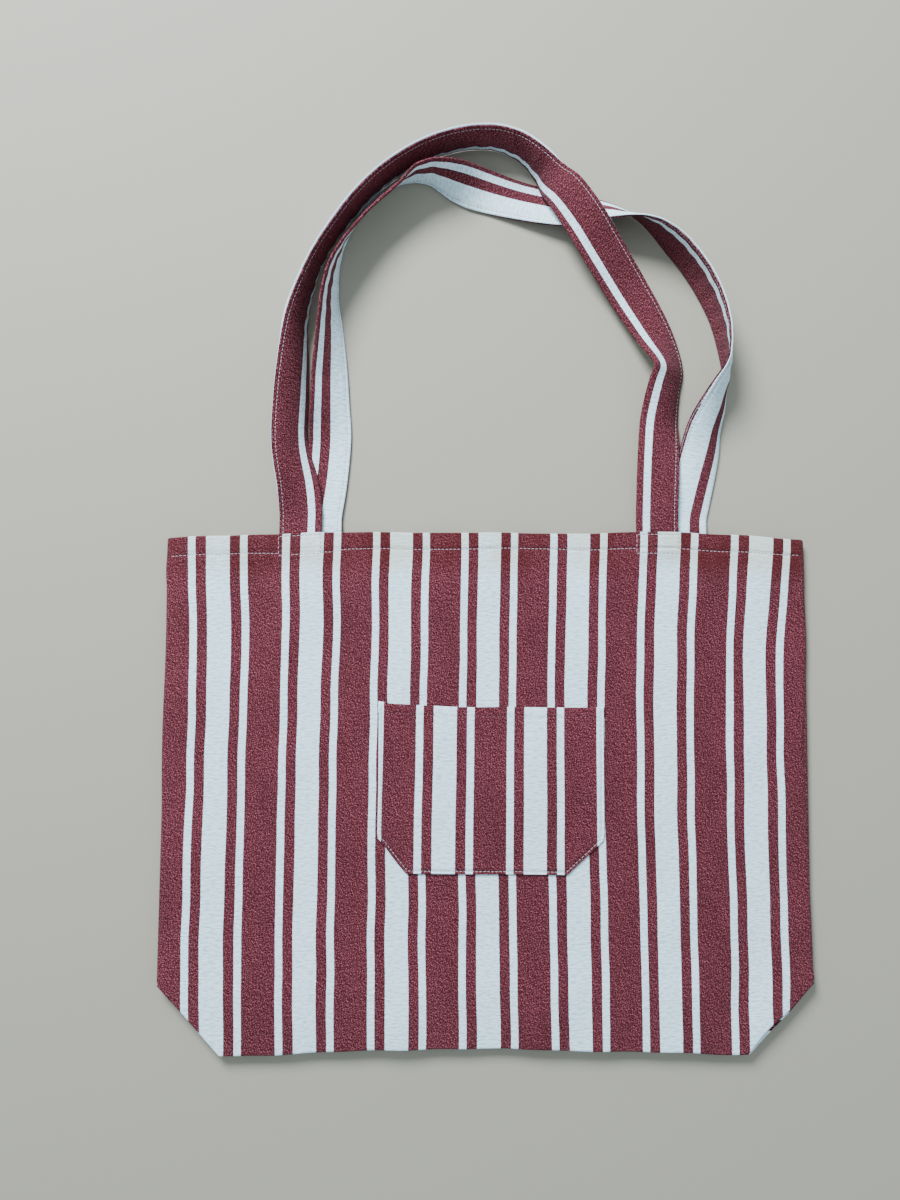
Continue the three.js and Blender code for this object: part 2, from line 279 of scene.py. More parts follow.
def canvas_material(name, hem=False):
    """Yarn-dyed canvas: red and white warp stripes crossed by a pale weft, so the red looks
    heathered."""
    graph = Graph(name)
    cloth = graph.node("ShaderNodeAttribute", attribute_name="cloth").outputs["Vector"]
    split = graph.node("ShaderNodeSeparateXYZ")
    graph.put(split.inputs[0], cloth)
    across, along = split.outputs[0], split.outputs[1]

    fuzz = graph.noise(cloth, 0.8, 3.0)
    wander = graph.math("MULTIPLY", graph.math("SUBTRACT", fuzz, 0.5), 0.9)
    red = stripe_mask(graph, graph.math("ADD", across, wander))

    # Twill specks: short slanting runs where the pale weft floats over the red warp.
    slant = graph.node("ShaderNodeVectorRotate", rotation_type="Z_AXIS")
    graph.put(slant.inputs["Vector"], cloth)
    slant.inputs["Angle"].default_value = math.radians(TWILL_SLANT)
    specks = graph.noise(graph.scaled(slant.outputs[0], (2.0, 0.8, 1.0)), 1.0, 2.0, 0.6)
    grains = graph.noise(graph.scaled(cloth, (2.2, 1.6, 1.0)), 1.0, 2.0, 0.6)
    cloudy = graph.noise(graph.scaled(cloth, (1.0, 0.5, 1.0)), 0.028, 3.0, 0.6)
    slubs = graph.noise(graph.scaled(cloth, (0.3, 1.0, 1.0)), 0.75, 3.0, 0.6)

    pale = graph.spread(specks, 0.51, 0.62, 0.0, 1.0)
    dark = graph.spread(grains, 0.38, 0.54, 1.0, 0.0)
    tone = graph.spread(cloudy, 0.40, 0.70, 0.0, 0.2)
    reds = graph.mix(dark, RED, RED_DARK)
    reds = graph.mix(pale, reds, RED_PALE)
    reds = graph.mix(tone, reds, RED_DARK)
    dim = graph.spread(slubs, 0.40, 0.68, 0.0, 0.9)
    whites = graph.mix(dim, WHITE, WHITE_DIM)
    # With hem, the top band gets painted shade in patches: creamier white and browner red where the
    # hem's layers and the strap ends stack up and hold back light.
    if hem:
        above = graph.spread(along, TOP - 40, TOP - 16, 0.0, 1.0)
        patchy = graph.spread(cloudy, 0.35, 0.62, 0.25, 1.0)
        share = graph.math("MULTIPLY", above, patchy)
        whites = graph.mix(graph.math("MULTIPLY", share, 0.8), whites, PAINTED_SHADE_CREAM)
        reds = graph.mix(graph.math("MULTIPLY", share, 0.55), reds, PAINTED_SHADE_RED)
    graph.put(graph.shader.inputs["Base Color"], graph.mix(red, whites, reds))

    roughness = graph.spread(grains, 0.2, 0.8, 0.78, 0.95)
    graph.put(graph.shader.inputs["Roughness"], roughness)
    graph.shader.inputs["Specular IOR Level"].default_value = 0.12
    graph.shader.inputs["Sheen Weight"].default_value = 0.04
    graph.shader.inputs["Sheen Roughness"].default_value = 0.6

    # The weave: warp and weft ribs with uneven yarns.
    yarn = 2 * math.pi / YARN_PITCH
    warp = graph.math("SINE", graph.math("MULTIPLY", across, yarn))
    weft = graph.math("SINE", graph.math("MULTIPLY", along, yarn))
    weave = graph.math("MULTIPLY", warp, weft)
    crepe = graph.noise(graph.scaled(cloth, (0.22, 0.6, 1.0)), 0.8, 2.0, 0.5)
    fine = graph.math("MULTIPLY_ADD", weave, 0.2, graph.math("MULTIPLY_ADD", specks, 0.25, slubs))
    height = graph.math("MULTIPLY_ADD", crepe, 2.6, fine)
    relief = graph.node("ShaderNodeBump")
    relief.inputs["Strength"].default_value = 0.6
    relief.inputs["Distance"].default_value = 0.4 * MM
    graph.put(relief.inputs["Height"], height)
    graph.put(graph.shader.inputs["Normal"], relief.outputs[0])
    return graph.material


def thread_material(name, colour):
    """Twisted cotton thread."""
    graph = Graph(name)
    cloth = graph.node("ShaderNodeAttribute", attribute_name="cloth").outputs["Vector"]
    twist = graph.noise(graph.scaled(cloth, (2.0, 6.0, 1.0)), 1.0, 2.0)
    shade = graph.spread(twist, 0.3, 0.7, 0.0, 0.5)
    dim = tuple(0.6 * part for part in colour)
    graph.put(graph.shader.inputs["Base Color"], graph.mix(shade, colour, dim))
    graph.shader.inputs["Roughness"].default_value = 0.7
    relief = graph.node("ShaderNodeBump")
    relief.inputs["Strength"].default_value = 0.3
    relief.inputs["Distance"].default_value = 0.05 * MM
    graph.put(relief.inputs["Height"], twist)
    graph.put(graph.shader.inputs["Normal"], relief.outputs[0])
    return graph.material


CANVAS = canvas_material("striped_canvas")
# The hem material paints shade into the band along the mouth.
HEM_SHADE_CANVAS = canvas_material("striped_canvas_hem_shade", hem=True)
THREAD = thread_material("pale_thread", (0.54, 0.41, 0.44))
FAINT_THREAD = thread_material("pink_thread", (0.36, 0.17, 0.21))


# ---- The bag's outline -------------------------------------------------------------------------
def half_width_at(y):
    return HALF_WIDTH - np.clip(FOLD_TOP - y, 0, None)


def edge_shift(x, y):
    """How far the edges stray up or down: the mouth droops to its corners, the bottom bows up."""
    left_droop = 5.6 * (np.clip(-x - 60, 0, 180) / 180) ** 1.6
    right_droop = 3.4 * smooth(x, 190, 240)
    mouth = 1.5 * bump_at(x, FRONT_FEET[1], 45) - 1.3 - left_droop - right_droop
    mouth = mouth + 0.5 * bump_at(x, FRONT_FEET[0] + 4, 20)
    bottom = 2.6 - 6.2 * smooth(-x, 20, 200) - 2.4 * smooth(x, 20, 200)
    vertex = 3.6 * bump_at(x, HALF_WIDTH, 20) * bump_at(y, FOLD_TOP, 20)
    wander = 0.45 * np.sin(x / 19.0 + 1.0) + 0.25 * np.sin(x / 7.3)
    upper = smooth(y, FOLD_TOP + 60, TOP)
    lower = 1 - smooth(y, BOTTOM, FOLD_TOP + 50)
    return (mouth + 0.6 * wander) * upper + (bottom + wander) * lower + vertex


def side_shift(x, y):
    """How far the sides stray in or out: slack at the waist, and rounded at the mouth's corners."""
    left = -1.6 * smooth(-y, -60, 150) + 0.4 * np.sin(y / 23.0)
    right = -3.4 * bump_at(y, 18, 62) - 1.0 * smooth(y, 100, 170) + 0.4 * np.sin(y / 19.0 + 2.0)
    corner = (1 - quarter_round(TOP + 0.8 - y, 3.0)) * 2.6
    bulge = 0.7 * bump_at(y, HEM_LINE - 12, 9)
    far = np.clip(np.abs(x) / HALF_WIDTH, 0, 1) ** 3
    return far * np.where(x < 0, corner * 0.3 - left - bulge, right - corner + bulge)


CORNER_LIFT = 3.0
CORNER_SHIFT = 3.2


def corner_curl(x, y):
    """The lower right corner of the front curls up and back from the layers beneath."""
    return np.exp(-((x - 211) ** 2 + (y + 176) ** 2) / (2 * 14**2))


def edge_distance(x, y):
    """Distance in from the side, the slanted corner or the bottom, whichever is nearest."""
    side = half_width_at(y) - np.abs(x)
    side = np.where(y < FOLD_TOP, side / math.sqrt(2), side)
    return np.clip(np.minimum(side, y - BOTTOM), 0, None)


def near_strap_end(x, y, feet):
    total = 0
    for foot in feet:
        across = smooth(x, foot - 18, foot - 15) * (1 - smooth(x, foot + 15, foot + 18))
        total = total + across * smooth(y, BOX_STITCH_LOW[1] - 5, BOX_STITCH_LOW[1] + 1)
    return total


def box_groove(x, y, feet):
    """The dents that the boxes of stitches pull into the cloth."""
    left = BOX_STITCH_LOW[0] - FRONT_FEET[0]
    right = BOX_STITCH_HIGH[0] - FRONT_FEET[0]
    low, high = BOX_STITCH_LOW[1], BOX_STITCH_HIGH[1]
    total = 0
    for foot in feet:
        inside_y = smooth(y, low - 1.2, low) * (1 - smooth(y, high, high + 1.2))
        start, stop = foot + left, foot + right
        inside_x = smooth(x, start - 1.2, start) * (1 - smooth(x, stop, stop + 1.2))
        uprights = (bump_at(x, start, 0.8) + bump_at(x, stop, 0.8)) * inside_y
        total = total + uprights + (bump_at(y, low, 0.8) + bump_at(y, high, 0.8)) * inside_x
    return np.clip(total, 0, 1)


def hem_line_at(x):
    """The hem's sewn line wanders a little, as sewn by hand."""
    wander = 0.45 * np.sin(x / 41.0 + 0.6) + 0.25 * np.sin(x / 17.0)
    return HEM_LINE - 2.2 + 2.2 * smooth(x, -118, -104) + wander


def front_height(x, y):
    """Upper surface of the front, before its edges roll over."""
    level = FACE_LEVEL - 1.2 * smooth(y, FOLD_TOP - 4, FOLD_TOP + 30) * (1 - smooth(y, 120, 172))
    level = level + 0.6 * ripples(x, y, 120, 3) + 0.3 * ripples(x, y, 46, 8)
    below_hem = bump_at(y, HEM_LINE - 15, 11) * (0.5 + 0.5 * ripples(x, 0 * y, 70, 12))
    level = level - 1.1 * below_hem
    level = level + 0.30 * (1 - smooth(y, FOLD_TOP - 3, FOLD_TOP + 3))
    level = level + 0.35 * smooth(y, HEM_LINE, HEM_LINE + 2.5)
    pucker = 0.10 * np.sin(x * 0.74 + 1.3 * np.sin(x * 0.13)) * bump_at(y, HEM_LINE, 5)
    level = level + pucker - 0.28 * bump_at(y, hem_line_at(x), 1.0)
    level = level + 0.7 * near_strap_end(x, y, FRONT_FEET) - 0.3 * box_groove(x, y, FRONT_FEET)
    return level + CORNER_LIFT * corner_curl(x, y)


def back_height(x, y):
    """Lower surface of the back, resting on the ground."""
    return FOOT_LEVEL + 0.25 * (1 + 0.5 * ripples(x, y, 90, 21))


def seam_height(y, fold_level):
    """Level of the outer edge: the side seam above, the fold of the boxed bottom below."""
    return fold_level + (SEAM_LEVEL - fold_level) * smooth(y, FOLD_TOP - 2, FOLD_TOP + 16)


def rolled(level, edge, distance, y):
    """The face's level once its edges roll over to the seam or the fold."""
    soft = 0.62 * quarter_round(distance, 3.2) + 0.38 * (1 - np.exp(-distance / 8))
    tight = 0.86 * quarter_round(distance, 1.5) + 0.14 * (1 - np.exp(-distance / 6))
    share = smooth(y, FOLD_TOP - 2, FOLD_TOP + 16)
    return edge + (level - edge) * (soft * share + tight * (1 - share))


def stripe_drift(x, y, seed):
    """Stripes that wander a little, because cloth is never laid quite straight."""
    return 0.5 * ripples(x, y * 0.6, 190, seed) + 0.25 * ripples(x, y, 60, seed + 1)


def front_drift(x, y):
    """The front's own lean and bow of the stripes."""
    s, t = x / HALF_WIDTH, y / TOP
    bow = 1.7 * s**2 - 1.6 * t**2 + 0.7 * s * t
    sway = 3.7 * s - 2.9 * s**3 - 1.0 * s**2 * t - 1.2 * s * t**2
    splay = -5.0 * s * np.abs(s) ** 0.6 * smooth(y, 85, 188)
    pinch = 3.0 * s * np.abs(s) * (1 - smooth(y, BOTTOM, BOTTOM + 80))
    low_tug = -1.2 * bump_at(x, 95, 65) * smooth(-y, 20, 80)
    high_tug = -1.1 * bump_at(x, -125, 45) * smooth(y, 70, 130)
    lean = bow + sway + splay + pinch + (low_tug + high_tug) + 0.4 * t - 1.4
    return lean + 0.25 * ripples(x, y, 60, 41)


FRONT_FOLD = FACE_LEVEL - 1.5
BACK_FOLD = 1.7


def face_grid(row_marks, column_marks):
    rows = ladder(BOTTOM, TOP, 4.6, [BOTTOM], EDGE_OFFSETS)
    rows = rows[rows < TOP - 0.5]
    near = [line + side * offset for line in row_marks for offset in LINE_OFFSETS for side in (-1, 1)]
    near = [line for line in near if line < TOP - 1.2]
    rows = [row for row in rows if all(abs(row - line) > 0.9 for line in near)]
    rows = np.array(sorted(rows + near + [TOP - 0.9, TOP - 0.5]))
    rows = rows[np.concatenate([[True], np.diff(rows) > 0.05])]
    columns = ladder(-HALF_WIDTH, HALF_WIDTH, 4.6, [-HALF_WIDTH, HALF_WIDTH], EDGE_OFFSETS)
    near = [line + side * offset for line in column_marks for offset in LINE_OFFSETS for side in (-1, 1)]
    columns = [column for column in columns if all(abs(column - line) > 0.9 for line in near)]
    columns = np.array(sorted(columns + near))
    columns = columns[np.concatenate([[True], np.diff(columns) > 0.05])]
    y = np.repeat(rows[:, None], len(columns), axis=1)
    x = columns[None, :] * (half_width_at(y) / HALF_WIDTH)
    return x, y


def strap_lines(feet):
    left = BOX_STITCH_LOW[0] - FRONT_FEET[0]
    right = BOX_STITCH_HIGH[0] - FRONT_FEET[0]
    return [foot + side for foot in feet for side in (left, right)]


HEM_RETURN = 12.8  # how far the mouth's hem goes back down inside


def add_hem_return(x, y, z, u, v, inward):
    """Carries the cloth over the mouth's edge and down inside as far as the hem's sewn line."""
    turn = 0.8
    tuck = 2.2  # the turned-in layer stays this far inside the side seams
    extra_x, extra_y, extra_z, extra_u, extra_v = [], [], [], [], []
    top_x, top_y, top_u, top_v = x[-1], y[-1], u[-1], v[-1]
    steps = [(turn * math.sin(a), turn * (1 - math.cos(a))) for a in np.linspace(0, math.pi, 7)[1:]]
    steps += [(-down, 2 * turn) for down in (1.5, 4.0, 7.5, 10.5, 12.2)]
    steps += [(-HEM_RETURN, 1.7 * turn), (0.6 - HEM_RETURN, 1.2 * turn)]
    for index, (up, into) in enumerate(steps):
        face = [np.interp(top_y[k] + up, y[:, k], z[:, k]) for k in range(len(top_y))]
        extra_x.append(top_x * (1 - tuck * into / (2 * turn) / HALF_WIDTH))
        extra_y.append(top_y + up)
        extra_z.append(np.array(face) + inward * into)
        extra_u.append(top_u)
        extra_v.append(top_v + index + 1)
    join = lambda base, extra: np.concatenate([base, np.array(extra)])
    return join(x, extra_x), join(y, extra_y), join(z, extra_z), join(u, extra_u), join(v, extra_v)


def make_front():
    x, y = face_grid([HEM_LINE, BOX_STITCH_LOW[1], BOX_STITCH_HIGH[1]], strap_lines(FRONT_FEET))
    level = front_height(x, y)
    distance = edge_distance(x, y)
    curl = corner_curl(x, y)
    z = rolled(level, seam_height(y, FRONT_FOLD) + CORNER_LIFT * curl, distance, y)
    real_x = x + side_shift(x, y) - CORNER_SHIFT * curl
    real_y = y + edge_shift(x, y) + CORNER_SHIFT * curl
    u = real_x + front_drift(x, y) + HALF_REPEAT
    grid = add_hem_return(real_x, real_y, z, u, y.copy(), -1)
    piece = grid_piece("front_canvas", *grid, HEM_SHADE_CANVAS)
    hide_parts("front_panel", "front_hem")
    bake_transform(piece)
    return piece


def make_back():
    x, y = face_grid([HEM_LINE], [])
    level = back_height(x, y)
    distance = edge_distance(x, y)
    z = rolled(level, seam_height(y, BACK_FOLD), distance, y)
    u = x + stripe_drift(x, y, 50)
    real_x = x + side_shift(x, y)
    real_y = y + edge_shift(x, y)
    grid = add_hem_return(real_x, real_y, z, u + HALF_REPEAT, y.copy(), 1)
    piece = grid_piece("back_canvas", *grid, HEM_SHADE_CANVAS, flip=True)
    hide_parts("back_panel", "back_hem")
    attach(piece, "bag")
    return piece


def make_bottom_half(name, node, fold_level, rest_level, curl, flip):
    """One half of the bottom, folded in from the face's lower edge up to the bottom seam."""
    rows = ladder(BOTTOM, FOLD_TOP, 4.6, [BOTTOM], EDGE_OFFSETS)
    columns = ladder(-1, 1, 0.02, [-1, 1], tuple(o / HALF_WIDTH for o in EDGE_OFFSETS))
    y = np.repeat(rows[:, None], len(columns), axis=1)
    x = columns[None, :] * half_width_at(y)
    distance = edge_distance(x, y)
    z = fold_level + (rest_level - fold_level) * quarter_round(distance, 1.5)
    z = z + 0.2 * ripples(x, y, 50, 60) * smooth(distance, 1, 8)
    lift = corner_curl(x, y) * curl
    z = z + CORNER_LIFT * lift
    box_side = HALF_WIDTH - (FOLD_TOP - BOTTOM)
    turned = np.sign(x) * (y - BOTTOM + box_side)
    u = np.where(np.abs(x) > box_side, turned, x)
    real_x = x + side_shift(x, y) - CORNER_SHIFT * lift
    real_y = y + edge_shift(x, y) + CORNER_SHIFT * lift
    piece = grid_piece(name, real_x, real_y, z, u + HALF_REPEAT, y, CANVAS, flip=flip)
    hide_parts(node)
    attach(piece, "bag")
    return piece


def make_bottom():
    """Both halves. The front one follows the curl of the corner above it only in part."""
    front_rest, back_rest = FRONT_FOLD - 1.3, BACK_FOLD + 1.0
    return [
        make_bottom_half("bottom_front_fold", "bottom_front_half", FRONT_FOLD, front_rest, 0.4, True),
        make_bottom_half("bottom_back_fold", "bottom_back_half", BACK_FOLD, back_rest, 0, False),
    ]


# ---- Seams inside the bag -------------------------------------------------------------------------
def make_seam(name, path, inward, width, thick=1.7):
    """Two layers of seam allowance lying along a path, with a sewn-over outer edge."""
    path = np.array(path, float)
    profile = [(0, 0.5), (0.15, 0.9), (0.6, 1.0), (0.95, 0.8), (1.0, 0.3), (0.985, 0.0)]
    profile += [(1.0, -0.3), (0.95, -0.8), (0.6, -1.0), (0.15, -0.9), (0, -0.5)]
    points, cloth = [], []
    for index, here in enumerate(path):
        wave = 0.35 * math.sin(index * 1.7)
        for reach, lift in profile:
            place = here + np.array(inward) * (width * reach + (wave if reach > 0.9 else 0))
            points.append(place + np.array([0, 0, lift * thick / 2]))
            across = HALF_REPEAT + here[0] + reach * width * inward[0]
            cloth.append((across, here[1] + reach * width * inward[1]))
    faces = grid_faces(len(path), len(profile), ring=True)
    faces.append(list(range(len(profile)))[::-1])
    last = (len(path) - 1) * len(profile)
    faces.append([last + i for i in range(len(profile))])
    piece = make_piece(name, points, faces, cloth, CANVAS)
    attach(piece, "bag")
    return piece


def make_seams():
    box_side = HALF_WIDTH - (FOLD_TOP - BOTTOM)
    levels = np.linspace(FOLD_TOP + 2, TOP - 15, 90)
    for side, sign in (("left", -1), ("right", 1)):
        path = [(sign * (HALF_WIDTH - 0.9), y, SEAM_LEVEL) for y in levels]
        seam = make_seam(f"{side}_side_seam_allowance", path, (-sign, 0, 0), 8)
        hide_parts(f"{side}_side_seam")
        path = [(sign * box_side, y, SEAM_LEVEL) for y in np.linspace(BOTTOM + 3, FOLD_TOP, 20)]
        seam = make_seam(f"{side}_corner_seam_allowance", path, (-sign, 0, 0), 8)
        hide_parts(f"{side}_corner_seam")
    path = [(x, FOLD_TOP, SEAM_LEVEL) for x in np.linspace(-box_side + 9, box_side - 9, 100)]
    seam = make_seam("bottom_seam_allowance", path, (0, -1, 0), 8)
    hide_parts("bottom_seam")


# ---- Stitches ------------------------------------------------------------------------------------
STITCH = 2.3
STITCH_GAP = 0.6
STITCH_RADIUS = 0.23
STITCH_RING = 6
# One stitch: place along it, share of its full girth, and height of its middle above the cloth.
STITCH_SHAPE = [
    (0.0, 0.15, -0.22),
    (0.12, 0.8, 0.02),
    (0.5, 1.0, 0.16),
    (0.88, 0.8, 0.02),
    (1.0, 0.15, -0.22),
]


def run_along(path, spacing):
    """Even steps along a path, and the length run at each of its points."""
    path = np.asarray(path, float)
    lengths = np.concatenate([[0], np.cumsum(np.linalg.norm(np.diff(path, axis=0), axis=1))])
    count = max(int(lengths[-1] / spacing), 1)
    marks = np.linspace(0, lengths[-1], count + 1)
    return marks, lengths


def stitch_mesh(runs):
    """Points, faces and cloth places of rows of separate stitches. A run is (path, normals)."""
    points, faces, cloth = [], [], []
    for path, normals in runs:
        path, normals = np.asarray(path, float), np.asarray(normals, float)
        marks, lengths = run_along(path, STITCH + STITCH_GAP)
        sample = lambda at, values: np.array([np.interp(at, lengths, values[:, k]) for k in range(3)])
        pitch = marks[1] - marks[0]
        for index, start in enumerate(marks[:-1]):
            stop = start + pitch * STITCH / (STITCH + STITCH_GAP)
            a, b = sample(start, path), sample(stop, path)
            normal = sample((start + stop) / 2, normals)
            along = (b - a) / np.linalg.norm(b - a)
            normal = normal - along * normal.dot(along)
            normal /= np.linalg.norm(normal)
            across = np.cross(along, normal)
            first = len(points)
            for t, girth, lift in STITCH_SHAPE:
                middle = sample(start + (stop - start) * t, path) + normal * (lift + 0.05)
                for k in range(STITCH_RING):
                    angle = 2 * math.pi * k / STITCH_RING
                    ring = across * math.cos(angle) + normal * (0.8 * math.sin(angle))
                    points.append(middle + ring * STITCH_RADIUS * girth)
                    cloth.append((index * 3.1 + k * 0.2, t * STITCH))
            for row in range(len(STITCH_SHAPE) - 1):
                for k in range(STITCH_RING):
                    nxt = (k + 1) % STITCH_RING
                    low, high = first + row * STITCH_RING, first + (row + 1) * STITCH_RING
                    faces.append([low + k, low + nxt, high + nxt, high + k])
            end = first + (len(STITCH_SHAPE) - 1) * STITCH_RING
            faces.append([first + k for k in range(STITCH_RING)][::-1])
            faces.append([end + k for k in range(STITCH_RING)])
    return points, faces, cloth


def make_stitches(name, runs, nodes, thread=THREAD):
    points, faces, cloth = stitch_mesh(runs)
    piece = make_piece(name, points, faces, cloth, thread)
    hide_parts(*nodes)
    return piece


def on_front(x, y, lift=0.0):
    """A path laid on the front's surface, with its normals."""
    x, y = np.asarray(x, float), np.asarray(y, float)
    level = front_height(x, y)
    z = rolled(level, seam_height(y, FRONT_FOLD), edge_distance(x, y), y) + lift
    step = 0.5
    slope_x = (front_height(x + step, y) - front_height(x - step, y)) / (2 * step)
    slope_y = (front_height(x, y + step) - front_height(x, y - step)) / (2 * step)
    normals = np.stack([-0.3 * slope_x, -0.3 * slope_y, np.ones_like(x)], axis=-1)
    return np.stack([x + side_shift(x, y), y + edge_shift(x, y), z], axis=-1), normals


def make_hem_stitches():
    half_box = (BOX_STITCH_HIGH[0] - BOX_STITCH_LOW[0]) / 2
    stops = [-HALF_WIDTH + 4]
    for foot in FRONT_FEET:
        stops += [foot - half_box, foot + half_box]
    stops.append(HALF_WIDTH - 4)
    runs = []
    for start, stop in zip(stops[::2], stops[1::2]):
        x = np.linspace(start, stop, 120)
        runs.append(on_front(x, hem_line_at(x)))
    piece = make_stitches("front_hem_stitches", runs, ["front_hem_stitch"])
    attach(piece, "front")


def box_runs(foot):
    left = foot + BOX_STITCH_LOW[0] - FRONT_FEET[0]
    right = foot + BOX_STITCH_HIGH[0] - FRONT_FEET[0]
    low, high = BOX_STITCH_LOW[1], BOX_STITCH_HIGH[1]
    corners = [(left, low), (right, low), (right, high), (left, high), (left, low)]
    runs = []
    for (x0, y0), (x1, y1) in zip(corners[:-1], corners[1:]):
        t = np.linspace(0, 1, 20)
        runs.append((x0 + (x1 - x0) * t, y0 + (y1 - y0) * t))
    return runs


def make_box_stitches():
    for side, foot in zip(("left", "right"), FRONT_FEET):
        runs = [on_front(x, y) for x, y in box_runs(foot)]
        piece = make_stitches(f"front_box_stitches_{side}", runs, [f"front_box_stitch_{side}"])
        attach(piece, "front")


# ---- The patch pocket ----------------------------------------------------------------------------
POCKET_LEFT, POCKET_RIGHT = pocket_low[0], pocket_high[0]
POCKET_BOTTOM, POCKET_TOP = pocket_low[1], box_mm("pocket_hem")[1][1]
POCKET_MIDDLE = (POCKET_LEFT + POCKET_RIGHT) / 2
POCKET_HALF = (POCKET_RIGHT - POCKET_LEFT) / 2
POCKET_CUT = 26.0
POCKET_SEWN = 2.2  # distance of the sewn line from the pocket's edge
POCKET_HEM_LINE = POCKET_TOP - 7.5
POCKET_RETURN = 7.4  # how far the pocket's hem goes back down inside


def pocket_half_at(y):
    return POCKET_HALF - np.clip(POCKET_BOTTOM + POCKET_CUT - y, 0, None)


def pocket_shift(x, y):
    """The pocket's mouth dips in the middle and rises to its left corner."""
    t = smooth(y, POCKET_BOTTOM + 30, POCKET_TOP)
    s = (x - POCKET_MIDDLE) / POCKET_HALF
    left = 1.9 * smooth(-s, 0.05, 0.95) + 2.0 * smooth(-s, 0.86, 1.04)
    mouth = left - 0.2 + 0.8 * smooth(s, 0.5, 1.05) + 0.25 * np.sin(s * 5)
    return t * mouth + 1.0 * (1 - t)


def pocket_skew(x, y):
    """The clipped corners are not quite alike."""
    low = 1 - smooth(y, POCKET_BOTTOM, POCKET_BOTTOM + POCKET_CUT)
    s = (x - POCKET_MIDDLE) / POCKET_HALF
    waist = (0.5 + 0.7 * bump_at(y, (POCKET_BOTTOM + POCKET_TOP) / 2, 45)) * smooth(-s, 0.8, 0.98)
    return waist + low * (-1.4 * smooth(s, 0.1, 0.65) - 3.4 * smooth(-s, 0.1, 0.65))


def pocket_lean(x, y):
    """The pocket's stripes spread a little towards its lower edge."""
    s = (x - POCKET_MIDDLE) / POCKET_HALF
    fan = (0.9 * s - 0.5) * (POCKET_TOP - y) / (POCKET_TOP - POCKET_BOTTOM)
    return fan - 1.2 * smooth(-s, -0.1, 0.9)


def pocket_rise(x, y):
    """Height of the pocket's upper surface above the front."""
    side = pocket_half_at(y) - np.abs(x - POCKET_MIDDLE)
    side = np.where(y < POCKET_BOTTOM + POCKET_CUT, side / math.sqrt(2), side)
    sewn = np.clip(np.minimum(side, y - POCKET_BOTTOM), 0, None)
    rise = 0.15 + 1.45 * quarter_round(sewn, 0.9) - 0.75 * bump_at(sewn, POCKET_SEWN, 0.75)
    rise = rise - 0.35 * smooth(sewn, 5, 9)
    rise = rise + 0.3 * smooth(y, POCKET_HEM_LINE - 3, POCKET_HEM_LINE + 3)
    rise = rise - 0.12 * bump_at(y, POCKET_HEM_LINE, 0.9) * smooth(sewn, 3, 5)
    return rise + 0.18 * ripples(x, y, 40, 77) * smooth(sewn, 3, 20)


def on_pocket(x, y):
    return front_height(x, y) + pocket_rise(x, y)


def make_pocket():
    offsets = (0, 0.06, 0.25, 0.5, 0.9, 1.5, 2.2, 2.9, 3.8, 5.2)
    rows = ladder(POCKET_BOTTOM, POCKET_TOP - 0.8, 4.2, [POCKET_BOTTOM], offsets)
    rows = rows[np.abs(rows - POCKET_HEM_LINE) > 2.2]
    beside_hem = [POCKET_HEM_LINE + offset for offset in (-1.9, -1.0, -0.4, 0, 0.4, 1.0, 1.9)]
    rows = np.array(sorted([*rows, *beside_hem]))
    columns = ladder(-POCKET_HALF, POCKET_HALF, 4.2, [-POCKET_HALF, POCKET_HALF], offsets)
    y = np.repeat(rows[:, None], len(columns), axis=1)
    x = POCKET_MIDDLE + columns[None, :] * (pocket_half_at(y) / POCKET_HALF)
    z = on_pocket(x, y)
    u = 1.012 * (x + pocket_skew(x, y) - POCKET_MIDDLE) - pocket_lean(x, y)
    u = u + 0.3 * stripe_drift(x, y, 70)
    top_x, top_y, top_z, top_u = x[-1], y[-1], z[-1], u[-1]
    turn = 0.6
    extra = [(turn * math.sin(a), turn * (1 - math.cos(a))) for a in np.linspace(0, math.pi, 6)[1:]]
    extra += [(-down, 2 * turn) for down in (1.2, 3.5, 6.0, POCKET_RETURN)]
    for up, into in extra:
        x = np.concatenate([x, top_x[None]])
        y = np.concatenate([y, top_y[None] + up])
        z = np.concatenate([z, top_z[None] - into])
        u = np.concatenate([u, top_u[None]])
    real_y = y + edge_shift(x, y) + pocket_shift(x, np.minimum(y, POCKET_TOP))
    x = x + pocket_skew(x, y)
    piece = grid_piece("pocket_canvas", x, real_y, z, u, y, CANVAS, thickness=0.55)
    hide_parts("pocket", "pocket_hem")
    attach(piece, "front")
    return piece


def make_pocket_stitches():
    inset = POCKET_SEWN
    cut = POCKET_CUT - inset * (2 - math.sqrt(2))
    left, right = POCKET_LEFT + inset, POCKET_RIGHT - inset
    bottom, top = POCKET_BOTTOM + inset, POCKET_TOP - 0.8
    corners = [(left, top), (left, bottom + cut), (left + cut, bottom), (right - cut, bottom)]
    corners += [(right, bottom + cut), (right, top)]
    runs = []
    for (x0, y0), (x1, y1) in zip(corners[:-1], corners[1:]):
        t = np.linspace(0, 1, 60)
        x, y = x0 + (x1 - x0) * t, y0 + (y1 - y0) * t
        z = on_pocket(x, y)
        real_x, real_y = x + pocket_skew(x, y), y + edge_shift(x, y) + pocket_shift(x, y)
        path = np.stack([real_x, real_y, z], axis=-1)
        runs.append((path, np.tile((0.0, 0.0, 1.0), (len(t), 1))))
    piece = make_stitches("pocket_stitches", runs, ["pocket_stitch"])
    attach(piece, "front")
    x = np.linspace(left + 1.5, right - 1.5, 120)
    y = np.full_like(x, POCKET_HEM_LINE)
    path = np.stack([x, y + edge_shift(x, y) + pocket_shift(x, y), on_pocket(x, y)], axis=-1)
    path[:, 2] -= 0.28
    runs = [(path, np.tile((0.0, 0.0, 1.0), (len(x), 1)))]
    hem = make_stitches("pocket_hem_stitches", runs, ["pocket_hem_stitch"], FAINT_THREAD)
    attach(hem, "front")


